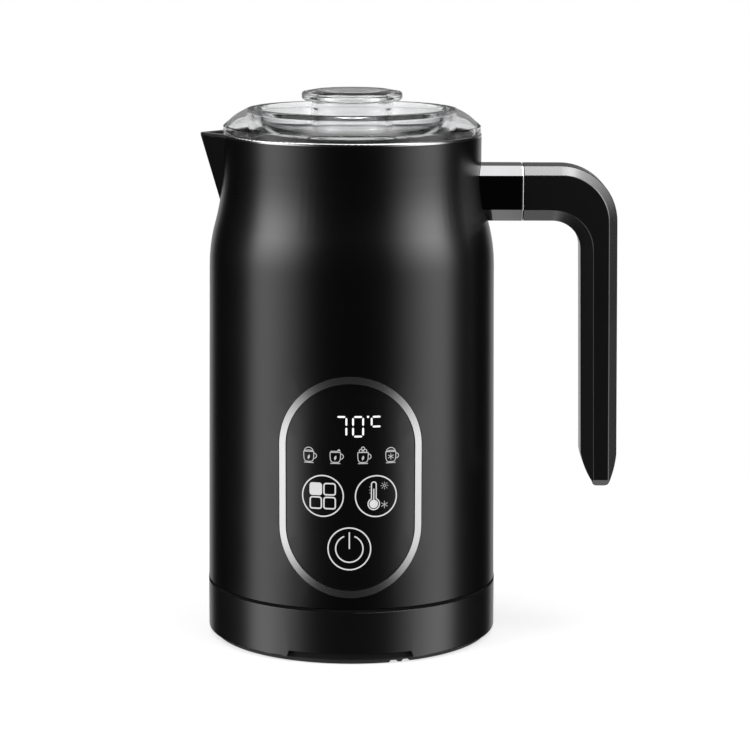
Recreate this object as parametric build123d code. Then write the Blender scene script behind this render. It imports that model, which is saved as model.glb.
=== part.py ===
from build123d import *
import math
import os

# Electric milk frother: a jug with a clear lid and a touch panel, on a power base.
# All sizes are in millimetres and degrees. +Z is up and the origin is on the jug's axis at table level.
# The panel faces -Y, the beak points to -X and the handle to +X.

# Clearances
seat_gap = 0.1
slide_gap = 0.4
shaft_gap = 0.05

# Power base
base_step = 0.1
base_height = 20.0
base_wall = 2.2
deck_thickness = 2.2
skirt_lift = 1.6
edge_round = 0.6
notch_width = 44.0
notch_height = 2.6
notch_flare = 1.6
foot_height = 1.4
foot_width = 5.0
scallop_radius = 1.75
scallop_drop = 0.6
scallop_angles = (-72.2, -67.0)
plate_thickness = 2.8
base_screw_inset = 13.3
base_screw_angles = (90, 210, 330)
boss_radius = 4.0
screw_radius = 1.5
screw_grip = 8.0
head_radius = 2.9
head_height = 1.4

# Cord gland at the rear of the base
gland_bore = 3.4
gland_wall = 1.6
gland_reach = 3.0
gland_flange = 1.8
gland_rim_gap = 0.6
gland_draft = 0.5

# Plug and socket between base and jug
plug_radius = 13.0
plug_height = 11.0
plug_flange_radius = 20.0
plug_flange = 2.4
plug_bore = 2.9
plug_slot_radius = 7.2
plug_slot_width = 2.6
plug_slot_depth = 9.0
contact_sheet = 0.6
contact_height = 5.0
pin_radius = 1.7
pin_lift = 3.0
socket_wall = 2.4
socket_flange_radius = 21.0
socket_headroom = 1.2

# Jug shell
seam_gap = 0.8
body_radius = 53.4
body_taper = 1.1
neck_step = 5.0
bulge_radius = 60.0
hollow_radius = 77.0
neck_height = 11.0
shell_wall = 0.8
rim_thickness = 1.0
rim_round = 0.4

# Beak
beak_reach = 8.0
beak_drop = 27.6
beak_half_angle = 51.0
beak_round = 3.2
beak_depth = 17.3

# Inner pot
pot_gap = 2.0
pot_wall = 0.8
pot_depth = 86.0
pot_floor_thickness = 1.0
pot_corner = 8.0

# Bottom cover and control board
cover_thickness = 2.4
cover_foot_width = 6.0
cover_foot_inset = 3.0
frame_post_inset = 10.5
frame_post_angles = (90, 210, 330)
board_room = 14.4
board_clearance = 3.4
board_side_gap = 3.37
board_depth = 46.0
board_thickness = 1.6
board_post_radius = 2.5
board_post_inset = 5.0
transformer_size = (16.0, 13.0, 12.0)
relay_size = (15.0, 11.0, 10.0)
capacitor_radius = 5.0
capacitor_height = 12.0
part_inset = 1.5

# Motor and its bracket
motor_radius = 13.5
motor_length = 24.0
motor_boss_radius = 4.0
motor_boss_height = 1.0
motor_bore_depth = 19.0
motor_screw_circle = 8.5
motor_screw_angles = (0, 180)
motor_screw_radius = 1.3
motor_screw_grip = 4.0
motor_head_radius = 2.2
motor_edge = 1.2
bracket_thickness = 2.4
bracket_rim = 3.5
bracket_clearance = 4.0
standoff_height = 14.6
standoff_inset = 3.6
standoff_radius = 2.6
standoff_angles = (30, 150, 270)

# Heater under the pot
heater_inset = 2.5
heater_thickness = 3.0
heater_room = 3.5
element_inset = 10.0
element_radius = 3.0
element_sink = 1.2
element_sweep = 290.0
element_opening_angle = 90
terminal_radius = 1.6
terminal_turn = 6.0
terminal_clearance = 3.0
sensor_radius = 2.8
sensor_height = 7.0
sensor_turn = 25.0
cutout_radius = 5.5
cutout_height = 8.0

# Magnetic drive
shaft_radius = 1.5
carrier_radius = 17.5
carrier_thickness = 6.5
carrier_hub_radius = 5.0
hub_gap = 2.0
magnet_gap = 1.5
magnet_count = 4
magnet_circle = 11.0
magnet_radius = 4.0
magnet_height = 4.0

# Whisk
pivot_radius = 2.0
pivot_height = 9.0
pivot_flange_radius = 6.0
pivot_flange = 0.8
whisk_lift = 0.5
whisk_disc_radius = 13.4
whisk_disc_height = 4.0
whisk_drum_radius = 10.6
whisk_collar_height = 1.6
whisk_stem_radius = 5.0
whisk_stem_height = 8.0
whisk_magnet_circle = 8.0
whisk_magnet_radius = 3.0
whisk_magnet_height = 2.6
coil_turns = 16
coil_radius = 2.0
wire_radius = 0.45
wire_sides = 6
coil_opening = 12.0

# Lid
lid_inset = 0.3
lid_flange = 2.7
lid_height = 9.0
lid_wall = 2.0
lid_ring_inset = 6.6
lid_ring_land = 3.4
dome_bulge = 0.8
dish_depth = 7.5
dish_slope = 5.0
dish_round = 7.0
skirt_depth = 8.5
spigot_height = 2.0
spigot_wall = 1.5
knob_neck_radius = 15.0
knob_radius = 18.4
knob_top_radius = 13.5
knob_wall = 2.2
knob_underside = 9.9
knob_edge_low = 10.6
knob_edge_high = 13.4
knob_edge_round = 1.3
knob_height = 14.2
gasket_core = 2.4
gasket_drop = 2.5
gasket_height = 5.0
gasket_lip = 0.9

# Touch panel
panel_width = 50.8
panel_height = 79.8
panel_rise = 1.8
bezel_width = 2.5
bezel_proud = 0.6
bezel_round = 0.45
lens_proud = 0.1
carrier_wall = 2.0
carrier_margin = 1.5
display_gap = 0.8
display_margin = 1.6
display_inset = 6.0
display_thickness = 1.6
display_post_radius = 1.2
digit_size = (22.0, 10.0, 2.2)
digit_rise = 22.4
digit_shift = 0.4
icon_rise = 11.4
icon_places = (-14.6, -5.2, 4.5, 14.5)
icon_window = 3.2
lamp_size = 2.4
lamp_height = 1.2
key_rise = -2.8
key_spread = 9.3
power_rise = -21.8
pad_radius = 5.0
pad_length = 2.4
window_gap = 0.6

# Handle
ferrule_length = 15.2
ferrule_wall = 1.4
ferrule_lip = 0.6
handle_width = 20.6
handle_drop = 10.35
arm_height = 20.2
arm_reach = 34.15
outer_bevel = 3.3
inner_bevel = 4.5
handle_seam = 0.15
outer_bend = 20.6
inner_bend = 10.4
grip_thickness = 13.2
grip_splay = 1.7
grip_length = 118.65
grip_edge_round = 0.8
tip_height = 12.0
tip_inner_inset = 4.0
tip_outer_inset = 2.85
tip_bulge = 0.16
tip_round = 1.8
tip_bevel = 2.6
tongue_width = 9.0
tongue_height = 11.0
tongue_reach = 16.0
handle_screw_place = 9.0
handle_screw_bore = 2.4

# Heights, from the table upwards
plate_top = foot_height + plate_thickness
deck_bottom = base_height - deck_thickness
gland_height = (plate_top + deck_bottom) / 2
plug_top = base_height + plug_height
jug_bottom = base_height + seam_gap
cover_top = jug_bottom + cover_thickness
socket_ceiling = plug_top + socket_headroom
socket_top = socket_ceiling + socket_wall
board_bottom = socket_top + board_clearance
board_top = board_bottom + board_thickness
motor_bottom = board_top + board_room
bracket_bottom = motor_bottom + motor_length
bracket_top = bracket_bottom + bracket_thickness
heater_bottom = bracket_top + standoff_height
pot_bottom = heater_bottom + heater_thickness
pot_floor = pot_bottom + pot_floor_thickness
shell_top = pot_floor + pot_depth
rim_top = shell_top + rim_thickness
lid_top = rim_top + lid_height
dish_floor = lid_top - dish_depth
whisk_bottom = pot_floor + pivot_flange + whisk_lift
whisk_drum_bottom = whisk_bottom + whisk_disc_height

# Radii, from the jug's body inwards
base_radius = body_radius + base_step
shoulder_radius = body_radius - body_taper
neck_radius = shoulder_radius - neck_step
pot_radius = neck_radius - pot_gap - pot_wall
lid_ring_radius = pot_radius - lid_ring_inset
beak_root = neck_radius - beak_depth
heater_radius = pot_radius - heater_inset
heater_window = carrier_radius + heater_room
element_circle = heater_radius - element_inset
standoff_circle = heater_radius - standoff_inset

# Heights and angles of the shell's S-curve
curve_turn = math.acos(1 - (shoulder_radius - neck_radius) / (bulge_radius + hollow_radius))
neck_bottom = shell_top - neck_height
curve_middle = neck_bottom - hollow_radius * math.sin(curve_turn)
shoulder_height = curve_middle - bulge_radius * math.sin(curve_turn)
body_draft = (body_radius - shoulder_radius) / (shoulder_height - jug_bottom)

# Radii and places worked out from the values above
base_inside = base_radius - base_wall
base_screw_circle = base_inside - base_screw_inset
plate_radius = base_inside - seat_gap
gland_radius = gland_bore + gland_wall
gland_rim_radius = (deck_bottom - plate_top) / 2 - gland_rim_gap
gland_inside = math.sqrt(base_inside ** 2 - gland_rim_radius ** 2) - gland_flange - seat_gap
plug_slot_outer = plug_slot_radius + plug_slot_width
socket_radius = plug_radius + slide_gap
socket_outer = socket_radius + socket_wall
cover_radius = body_radius - shell_wall - seat_gap
frame_post_circle = cover_radius - frame_post_inset
frame_post_side = frame_post_circle * math.cos(math.radians(frame_post_angles[-1]))
board_length = 2 * (frame_post_side - boss_radius - board_side_gap)
carrier_top = pot_bottom - magnet_gap
carrier_bottom = carrier_top - carrier_thickness
motor_boss_top = bracket_top + motor_boss_height
coil_outer = coil_radius + wire_radius
coil_circle = whisk_drum_radius + seat_gap + coil_outer
whisk_drum_height = 2 * (coil_outer + seat_gap)
whisk_collar_bottom = whisk_drum_bottom + whisk_drum_height
whisk_collar_top = whisk_collar_bottom + whisk_collar_height
panel_bottom = cover_top + panel_rise
panel_middle = panel_bottom + panel_height / 2
carrier_outset = shell_wall + seat_gap
carrier_inside = shoulder_radius - carrier_outset - carrier_wall
display_front = pot_radius + pot_wall + display_gap
display_half = math.sqrt(carrier_inside ** 2 - display_front ** 2) - display_margin
display_bottom = panel_bottom + display_inset
display_top = heater_bottom - window_gap
bracket_front = display_front - display_thickness - bracket_clearance
arm_top = shell_top - handle_drop
arm_bottom = arm_top - arm_height
arm_middle = arm_top - arm_height / 2
ferrule_end = neck_radius + ferrule_length
grip_start = ferrule_end + handle_seam
grip_top_reach = ferrule_end + arm_reach
grip_bottom_reach = grip_top_reach + grip_splay
grip_bottom = arm_top - grip_length
screw_x = ferrule_end + handle_screw_place
reach_out = 2 * body_radius
UPRIGHT = (Align.CENTER, Align.CENTER, Align.MIN)


# Shared shapes
def disc(radius, bottom, top):
    """Cylinder on the jug's axis."""
    return Pos(0, 0, bottom) * Cylinder(radius, top - bottom, align=UPRIGHT)


def ring(outer, inner, bottom, top):
    """Tube on the jug's axis."""
    return disc(outer, bottom, top) - disc(inner, bottom, top)


def pillar(place, radius, bottom, top):
    """Upright cylinder at a place on the plan."""
    return Pos(*place, bottom) * Cylinder(radius, top - bottom, align=UPRIGHT)


def rod(x, z, radius, near, far):
    """Cylinder that runs towards the front, from depth near to depth far in front of the axis."""
    return Pos(x, -near, z) * Rot(90, 0, 0) * Cylinder(radius, far - near, align=UPRIGHT)


def block(x, z, width, height, near, far):
    """Box that faces the front, between two depths in front of the axis."""
    return Pos(x, -(near + far) / 2, z) * Box(width, far - near, height)


def on_circle(radius, angles):
    """Places on the plan at the given angles."""
    turns = [math.radians(angle) for angle in angles]
    return [(radius * math.cos(turn), radius * math.sin(turn)) for turn in turns]


def evenly(count, first=0.0):
    """Angles of count places shared out round a circle."""
    return [first + index * 360 / count for index in range(count)]


def together(solids):
    """Several separate solids as one group."""
    return Compound(children=list(solids))


def turned(outline):
    """Solid turned about the jug's axis from a closed outline drawn as radius and height."""
    return revolve(Plane.XZ * make_face(outline), axis=Axis.Z)


def screws(places, seat, tip, shank, head, head_depth):
    """Round-headed screws: heads against the seat height, shanks up or down to the tip height."""
    outward = math.copysign(head_depth, seat - tip)
    group = []
    for place in places:
        body = pillar(place, shank, min(seat, tip), max(seat, tip))
        cap = pillar(place, head, min(seat, seat + outward), max(seat, seat + outward))
        group.append(body + cap)
    return together(group)


def jug_form(inset, bottom, top):
    """Jug's outside form without its beak, drawn in by inset: draft, shoulder, hollow curve and neck."""
    low = body_radius + body_draft * (jug_bottom - bottom) - inset
    wide = shoulder_radius - inset
    slim = neck_radius - inset
    shoulder = (wide, shoulder_height)
    neck = (slim, neck_bottom)
    rise = math.sin(curve_turn / 2)
    draw_in = 1 - math.cos(curve_turn / 2)
    bulge_half = (wide - bulge_radius * draw_in, shoulder_height + bulge_radius * rise)
    hollow_half = (slim + hollow_radius * draw_in, neck_bottom - hollow_radius * rise)
    middle = (wide - bulge_radius * (1 - math.cos(curve_turn)), curve_middle)
    outline = Polyline(neck, (slim, top), (0, top), (0, bottom), (low, bottom), shoulder)
    outline += ThreePointArc(shoulder, bulge_half, middle)
    outline += ThreePointArc(middle, hollow_half, neck)
    return turned(outline)


def beak_section(inset, height):
    """Rounded V of the beak at one height, drawn in by inset."""
    half = math.radians(beak_half_angle)
    nose = neck_radius + beak_reach * (1 - (shell_top - height) / beak_drop)
    tip = nose - beak_round + (beak_round - inset) / math.sin(half)
    spread = (tip - beak_root) * math.tan(half)
    corner = make_face(Polyline((-tip, 0), (-beak_root, spread), (-beak_root, -spread), close=True))
    return Pos(0, 0, height) * fillet(corner.vertices().sort_by(Axis.X)[0], beak_round - inset)


def beak(inset, top):
    """Beak as a solid wedge, from a foot sunk inside the neck up to the given height."""
    foot = shell_top - beak_drop * (1 + beak_round / beak_reach)
    return loft([beak_section(inset, foot), beak_section(inset, top)], ruled=True)


def panel_prism(grow):
    """Stadium-shaped prism through the jug's front, grown all round from the panel's outline."""
    outline = SlotOverall(panel_height + 2 * grow, panel_width + 2 * grow, rotation=90)
    return extrude(Plane.XZ * Pos(0, panel_middle) * outline, amount=reach_out)


def panel_layer(outer_inset, inner_inset, prism):
    """Piece of the jug's curved wall between two insets, cut to a prism."""
    wall = jug_form(outer_inset, jug_bottom, shell_top) - jug_form(inner_inset, jug_bottom, shell_top)
    return wall & prism


def arm_prism(inset, start, end):
    """Bar along the handle's arm with bevelled corners, drawn in by inset."""
    section = Rectangle(handle_width - 2 * inset, arm_height - 2 * inset)
    trim = inset * (2 - math.sqrt(2))
    section = chamfer(section.vertices().group_by(Axis.Y)[-1], outer_bevel - trim)
    section = chamfer(section.vertices().group_by(Axis.Y)[0], inner_bevel - trim)
    plane = Plane(origin=(start, 0, arm_middle), x_dir=(0, 1, 0), z_dir=(1, 0, 0))
    return extrude(plane * section, amount=end - start)


# Power base
def front_notch():
    """Shallow trapezoid cut in the housing's front lower edge."""
    half = notch_width / 2
    top = skirt_lift + notch_height
    wide = half + notch_flare
    outline = Polyline((-wide, 0), (-half, top), (half, top), (wide, 0), close=True)
    return extrude(Plane.XZ * make_face(outline), amount=reach_out)


def base_housing():
    shell = disc(base_radius, skirt_lift, base_height)
    rims = shell.edges().filter_by(GeomType.CIRCLE)
    shell = fillet(rims, edge_round)
    shell -= disc(base_inside, 0, deck_bottom)
    shell -= front_notch()
    for place in on_circle(base_screw_circle, base_screw_angles):
        shell += pillar(place, boss_radius, plate_top, deck_bottom)
        shell -= pillar(place, screw_radius + shaft_gap, plate_top, plate_top + screw_grip)
    shell -= disc(plug_radius + seat_gap, deck_bottom, base_height)
    return shell - rod(0, gland_height, gland_radius + shaft_gap, -base_radius, -gland_inside)


def base_bottom_plate():
    plate = disc(plate_radius, foot_height, plate_top)
    for place in on_circle(base_screw_circle, base_screw_angles):
        plate -= pillar(place, screw_radius + seat_gap, foot_height, plate_top)
    return plate


def foot_ring():
    foot = ring(plate_radius, plate_radius - foot_width, 0, foot_height)
    for angle in scallop_angles:
        bite = Pos(0, 0, -scallop_drop) * Rot(0, 90, 0) * Cylinder(scallop_radius, reach_out, align=UPRIGHT)
        foot -= Rot(0, 0, angle) * Pos(plate_radius - foot_width / 2, 0, 0) * bite
    return foot


def base_screws():
    places = on_circle(base_screw_circle, base_screw_angles)
    tip = plate_top + screw_grip - seat_gap
    return screws(places, foot_height, tip, screw_radius, head_radius, foot_height - seat_gap)


def base_plug():
    plug = disc(plug_flange_radius, deck_bottom - plug_flange, deck_bottom)
    plug += disc(plug_radius, deck_bottom, plug_top)
    slot_floor = plug_top - plug_slot_depth
    plug -= ring(plug_slot_outer, plug_slot_radius, slot_floor, plug_top)
    plug -= disc(plug_bore, slot_floor, plug_top)
    rim = plug.edges().filter_by(GeomType.CIRCLE).filter_by_position(Axis.Z, plug_top, plug_top)
    return chamfer(rim.sort_by(SortBy.RADIUS)[-1], edge_round)


def base_contacts():
    bottom = plug_top - plug_slot_depth
    top = bottom + contact_height
    sleeve = ring(plug_bore - shaft_gap, plug_bore - contact_sheet, bottom, top)
    band = ring(plug_slot_outer - shaft_gap, plug_slot_outer - contact_sheet, bottom, top)
    return together([sleeve, band])


def cord_gland():
    tail = base_radius + gland_reach
    flange = rod(0, gland_height, gland_rim_radius, -gland_inside - gland_flange, -gland_inside)
    outward = Pos(0, gland_inside, gland_height) * Rot(-90, 0, 0)
    length = tail - gland_inside
    bush = outward * Cone(gland_radius, gland_radius - gland_draft, length, align=UPRIGHT)
    return flange + bush - rod(0, gland_height, gland_bore, -tail, -gland_inside)


# Jug
def jug_shell():
    outside = jug_form(0, jug_bottom, shell_top) + beak(0, shell_top)
    inside = jug_form(shell_wall, jug_bottom - seam_gap, rim_top) + beak(shell_wall, rim_top)
    return outside - inside - panel_prism(seat_gap)


def rim_outline(inset):
    """Plan of the rim, drawn in by inset: the neck's circle joined to the beak."""
    nose = Pos(0, 0, -shell_top) * beak_section(inset, shell_top)
    return Circle(neck_radius - inset) + nose


def rim_ring():
    plan = rim_outline(0) - rim_outline(neck_radius - pot_radius)
    band = extrude(Pos(0, 0, shell_top) * plan, amount=rim_thickness)
    top = band.faces().sort_by(Axis.Z)[-1]
    return fillet(top.outer_wire().edges(), rim_round)


def cup_form(radius, corner, bottom, top):
    """Upright cylinder with a rounded lower corner."""
    corners = [(radius, bottom), (radius, top), (0, top), (0, bottom)]
    return turned(FilletPolyline(*corners, radius=(corner, 0, 0, 0), close=True))


def inner_pot():
    outer = pot_radius + pot_wall
    gap = neck_radius - outer
    cup = cup_form(outer, pot_corner + pot_wall, pot_bottom, shell_top) + beak(gap, shell_top)
    room = cup_form(pot_radius, pot_corner, pot_floor, rim_top) + beak(gap + pot_wall, rim_top)
    return cup - room


def whisk_pivot():
    post = disc(pivot_radius, pot_floor, pot_floor + pivot_height)
    post = fillet(post.edges().sort_by(Axis.Z)[-1], pivot_radius / 2)
    return post + disc(pivot_flange_radius, pot_floor, pot_floor + pivot_flange)


def board_corners():
    """Places of the control board's four posts."""
    x = board_length / 2 - board_post_inset
    y = board_depth / 2 - board_post_inset
    return [(x, y), (-x, y), (-x, -y), (x, -y)]


def jug_bottom_cover():
    cover = disc(cover_radius, jug_bottom, cover_top)
    foot_outer = cover_radius - cover_foot_inset
    cover += ring(foot_outer, foot_outer - cover_foot_width, base_height, jug_bottom)
    for place in board_corners():
        cover += pillar(place, board_post_radius, cover_top, board_bottom)
    for place in on_circle(frame_post_circle, frame_post_angles):
        cover += pillar(place, boss_radius, cover_top, bracket_bottom)
        cover -= pillar(place, screw_radius + shaft_gap, bracket_bottom - screw_grip, bracket_bottom)
    return cover - disc(socket_outer + seat_gap, jug_bottom, cover_top)


def jug_socket():
    cup = disc(socket_outer, jug_bottom, socket_top)
    cup += disc(socket_flange_radius, cover_top, cover_top + socket_wall)
    return cup - disc(socket_radius, jug_bottom, socket_ceiling)


def jug_contacts():
    bottom = plug_top - plug_slot_depth + pin_lift
    pin = disc(pin_radius, bottom, socket_ceiling)
    middle = plug_slot_radius + (plug_slot_width - contact_sheet) / 2
    blade = ring(middle + contact_sheet / 2, middle - contact_sheet / 2, bottom, socket_ceiling)
    return together([pin, blade])


def control_board():
    board = Pos(0, 0, board_bottom) * Box(board_length, board_depth, board_thickness, align=UPRIGHT)
    x = board_length / 2 - part_inset
    y = board_depth / 2 - part_inset
    width, depth, height = transformer_size
    board += Pos(width / 2 - x, y - depth / 2, board_top) * Box(width, depth, height, align=UPRIGHT)
    width, depth, height = relay_size
    board += Pos(x - width / 2, y - depth / 2, board_top) * Box(width, depth, height, align=UPRIGHT)
    place = (x - capacitor_radius, capacitor_radius - y)
    return board + pillar(place, capacitor_radius, board_top, board_top + capacitor_height)


def motor_screw_places():
    """Places of the motor's two screws."""
    return on_circle(motor_screw_circle, motor_screw_angles)


def motor():
    can = disc(motor_radius, motor_bottom, bracket_bottom)
    can = fillet(can.edges().filter_by(GeomType.CIRCLE).sort_by(Axis.Z)[0], motor_edge)
    can += disc(motor_boss_radius, bracket_bottom, motor_boss_top)
    for place in motor_screw_places():
        pilot = motor_screw_radius + shaft_gap
        can -= pillar(place, pilot, bracket_bottom - motor_screw_grip, bracket_bottom)
    return can - disc(shaft_radius + shaft_gap, motor_boss_top - motor_bore_depth, motor_boss_top)


def motor_bracket():
    plate = disc(frame_post_circle + bracket_rim, bracket_bottom, bracket_top)
    plate -= block(0, bracket_bottom, reach_out, reach_out, bracket_front, reach_out)
    plate -= disc(motor_boss_radius + seat_gap, bracket_bottom, bracket_top)
    for place in on_circle(frame_post_circle, frame_post_angles):
        plate -= pillar(place, screw_radius + seat_gap, bracket_bottom, bracket_top)
    for place in motor_screw_places():
        plate -= pillar(place, motor_screw_radius + seat_gap, bracket_bottom, bracket_top)
    for place in on_circle(standoff_circle, standoff_angles):
        plate += pillar(place, standoff_radius, bracket_top, heater_bottom)
    return plate


def motor_screws():
    places = motor_screw_places()
    tip = bracket_bottom - motor_screw_grip + seat_gap
    return screws(places, bracket_top, tip, motor_screw_radius, motor_head_radius, head_height)


def bracket_screws():
    places = on_circle(frame_post_circle, frame_post_angles)
    tip = bracket_bottom - screw_grip + seat_gap
    return screws(places, bracket_top, tip, screw_radius, head_radius, head_height)


def element_tube(radius):
    """C-shaped tube of the heating element, open at the rear."""
    height = heater_bottom + element_sink - element_radius
    section = Plane.XZ * Pos(element_circle, height) * Circle(radius)
    start = element_opening_angle + (360 - element_sweep) / 2
    return Rot(0, 0, start) * revolve(section, axis=Axis.Z, revolution_arc=element_sweep)


def heater_plate():
    plate = ring(heater_radius, heater_window, heater_bottom, pot_bottom)
    return plate - element_tube(element_radius + shaft_gap)


def heater_element():
    element = element_tube(element_radius)
    height = heater_bottom + element_sink - element_radius
    half = (360 - element_sweep) / 2 + terminal_turn
    ends = (element_opening_angle - half, element_opening_angle + half)
    for place in on_circle(element_circle, ends):
        element += pillar(place, terminal_radius, bracket_top + terminal_clearance, height)
    return element


def temperature_sensor():
    place = on_circle(element_circle, [element_opening_angle + sensor_turn])[0]
    return pillar(place, sensor_radius, heater_bottom - sensor_height, heater_bottom)


def thermal_cutout():
    place = on_circle(element_circle, [element_opening_angle])[0]
    return pillar(place, cutout_radius, heater_bottom - cutout_height, heater_bottom)


# Magnetic drive under the pot
def motor_shaft():
    return disc(shaft_radius, motor_boss_top - motor_bore_depth + seat_gap, carrier_top - magnet_height)


def magnet_carrier():
    carrier = disc(carrier_radius, carrier_bottom, carrier_top)
    carrier += disc(carrier_hub_radius, motor_boss_top + hub_gap, carrier_bottom)
    carrier -= disc(shaft_radius + shaft_gap, motor_boss_top, carrier_top - magnet_height)
    for place in on_circle(magnet_circle, evenly(magnet_count)):
        carrier -= pillar(place, magnet_radius + shaft_gap, carrier_top - magnet_height, carrier_top)
    return carrier


def drive_magnets():
    places = on_circle(magnet_circle, evenly(magnet_count))
    bottom = carrier_top - magnet_height
    return together(pillar(place, magnet_radius, bottom, carrier_top) for place in places)


# Whisk
def whisk_hub():
    bore_top = pot_floor + pivot_height + slide_gap
    hub = disc(whisk_disc_radius, whisk_bottom, whisk_drum_bottom)
    hub += disc(whisk_drum_radius, whisk_drum_bottom, whisk_collar_bottom)
    hub += disc(whisk_disc_radius, whisk_collar_bottom, whisk_collar_top)
    stem = disc(whisk_stem_radius, whisk_collar_top, whisk_collar_top + whisk_stem_height)
    hub += fillet(stem.edges().sort_by(Axis.Z)[-1], whisk_stem_radius / 2)
    hub -= disc(pivot_radius + shaft_gap, whisk_bottom, bore_top)
    pocket_top = whisk_bottom + whisk_magnet_height
    for place in on_circle(whisk_magnet_circle, evenly(magnet_count)):
        hub -= pillar(place, whisk_magnet_radius + shaft_gap, whisk_bottom, pocket_top)
    return hub


def whisk_magnets():
    places = on_circle(whisk_magnet_circle, evenly(magnet_count))
    top = whisk_bottom + whisk_magnet_height
    return together(pillar(place, whisk_magnet_radius, whisk_bottom, top) for place in places)


def coil_point(turn):
    """Point and direction on the coil's centre line, after a number of turns."""
    per_turn = math.radians(360 - coil_opening) / coil_turns
    round_ring = turn * per_turn
    wind = 2 * math.pi * turn
    outward = Vector(math.cos(round_ring), math.sin(round_ring), 0)
    along = Vector(-math.sin(round_ring), math.cos(round_ring), 0)
    middle = whisk_drum_bottom + whisk_drum_height / 2
    reach = coil_circle - coil_radius * math.cos(wind)
    point = outward * reach + Vector(0, 0, middle + coil_radius * math.sin(wind))
    speed = outward * (2 * math.pi * coil_radius * math.sin(wind)) + along * (reach * per_turn)
    speed += Vector(0, 0, 2 * math.pi * coil_radius * math.cos(wind))
    return point, speed.normalized()


def biarc(start, start_way, end, end_way):
    """Two arcs that join two points with given directions and meet smoothly."""
    span = end - start
    ways = start_way + end_way
    spread = 2 * (1 - start_way.dot(end_way))
    reach = (math.sqrt(span.dot(ways) ** 2 + spread * span.dot(span)) - span.dot(ways)) / spread
    meet = (start + end + (start_way - end_way) * reach) * 0.5
    meet_way = (end - end_way * reach) - (start + start_way * reach)
    return [TangentArc(start, meet, tangent=start_way), TangentArc(meet, end, tangent=meet_way)]


def coil_gap(steps=24):
    """Least gap between neighbouring turns of the coil, measured on points."""
    points = [coil_point(index / steps)[0] for index in range(coil_turns * steps + 1)]
    near = min(
        (points[first] - points[second]).length
        for first in range(len(points))
        for second in range(first + steps // 2, min(first + 3 * steps, len(points)))
    )
    return min(near, (points[0] - points[-1]).length) - 2 * wire_radius


def whisk_coil():
    halves = [coil_point(index / 2) for index in range(coil_turns * 2 + 1)]
    arcs = []
    for (start, start_way), (end, end_way) in zip(halves, halves[1:]):
        arcs += biarc(start, start_way, end, end_way)
    first, way = halves[0]
    section = Plane(origin=first, z_dir=way) * RegularPolygon(wire_radius, wire_sides)
    return sweep(section, path=Wire([arc.edge() for arc in arcs]), clean=False)


# Lid
def dome_line(outer, outer_height, drop):
    """Gently bulged line from the top ring's edge out to the flange, lowered by drop."""
    start = (lid_ring_radius, lid_top - drop)
    end = (outer, outer_height)
    middle = ((start[0] + end[0]) / 2, (start[1] + end[1]) / 2 + dome_bulge)
    return ThreePointArc(start, middle, end)


def lid_cover():
    rim = neck_radius - lid_inset
    lip = rim - lid_wall
    skirt = lid_ring_radius - lid_wall
    skirt_bottom = rim_top - skirt_depth
    inner = lid_ring_radius - lid_ring_land
    flange_top = rim_top + lid_flange
    dish_turn = math.atan2(dish_depth, dish_slope)
    corner = inner - dish_slope + lid_wall * math.tan(dish_turn / 2)
    under_floor = dish_floor - lid_wall
    under_ring = under_floor + (skirt - corner) * math.tan(dish_turn)
    drop = lid_wall * math.hypot(1, (lid_top - flange_top) / (rim - lid_ring_radius))
    under_lip = flange_top - drop + lid_wall

    dish = [(inner, lid_top), (inner - dish_slope, dish_floor), (0, dish_floor)]
    under_dish = [(0, under_floor), (corner, under_floor), (skirt, under_ring)]
    wall = [(skirt, under_ring), (skirt, skirt_bottom), (lid_ring_radius, skirt_bottom)]
    outline = dome_line(rim, flange_top, 0)
    outline += Line((lid_ring_radius, lid_top), (inner, lid_top))
    outline += FilletPolyline(*dish, radius=dish_round)
    outline += Line((0, dish_floor), (0, under_floor))
    outline += FilletPolyline(*under_dish, radius=dish_round + lid_wall)
    outline += Polyline(*wall, (lid_ring_radius, lid_top - drop))
    outline += dome_line(lip, under_lip, drop)
    outline += Polyline((lip, under_lip), (lip, rim_top), (rim, rim_top), (rim, flange_top))
    spigot = knob_neck_radius - knob_wall - seat_gap
    return turned(outline) + ring(spigot, spigot - spigot_wall, dish_floor, dish_floor + spigot_height)


def lid_knob():
    inside = knob_neck_radius - knob_wall
    top = dish_floor + knob_height
    roof = top - knob_wall
    underside = (knob_neck_radius, dish_floor + knob_underside)
    edge_low = (knob_radius, dish_floor + knob_edge_low)
    edge_high = (knob_radius, dish_floor + knob_edge_high)
    shoulder = (knob_top_radius, top)
    outline = FilletPolyline(underside, edge_low, edge_high, shoulder, radius=knob_edge_round)
    outline += Polyline(shoulder, (0, top), (0, roof), (inside, roof), (inside, dish_floor))
    outline += Polyline((inside, dish_floor), (knob_neck_radius, dish_floor), underside)
    return turned(outline)


def lid_gasket():
    core = lid_ring_radius + gasket_core
    edge = pot_radius - slide_gap
    top = rim_top - gasket_drop
    bottom = top - gasket_height
    outline = Polyline(
        (lid_ring_radius, bottom),
        (core, bottom),
        (edge, bottom + gasket_lip),
        (edge, bottom + 2 * gasket_lip),
        (core, bottom + 2 * gasket_lip),
        (core, top - 2 * gasket_lip),
        (edge, top - gasket_lip),
        (edge, top),
        (core, top),
        (lid_ring_radius, top),
        close=True,
    )
    return turned(outline)


# Touch panel
def panel_bezel():
    frame = panel_prism(0) - panel_prism(-bezel_width)
    bezel = panel_layer(-bezel_proud, shell_wall, frame)
    front = bezel.faces().sort_by(lambda face: face.center().Y)[0]
    return fillet(front.edges(), bezel_round)


def panel_lens():
    return panel_layer(-lens_proud, shell_wall, panel_prism(-bezel_width - seat_gap))


def key_places():
    """Places of the three keys on the panel."""
    upper = panel_middle + key_rise
    return [(-key_spread, upper), (key_spread, upper), (0, panel_middle + power_rise)]


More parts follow.
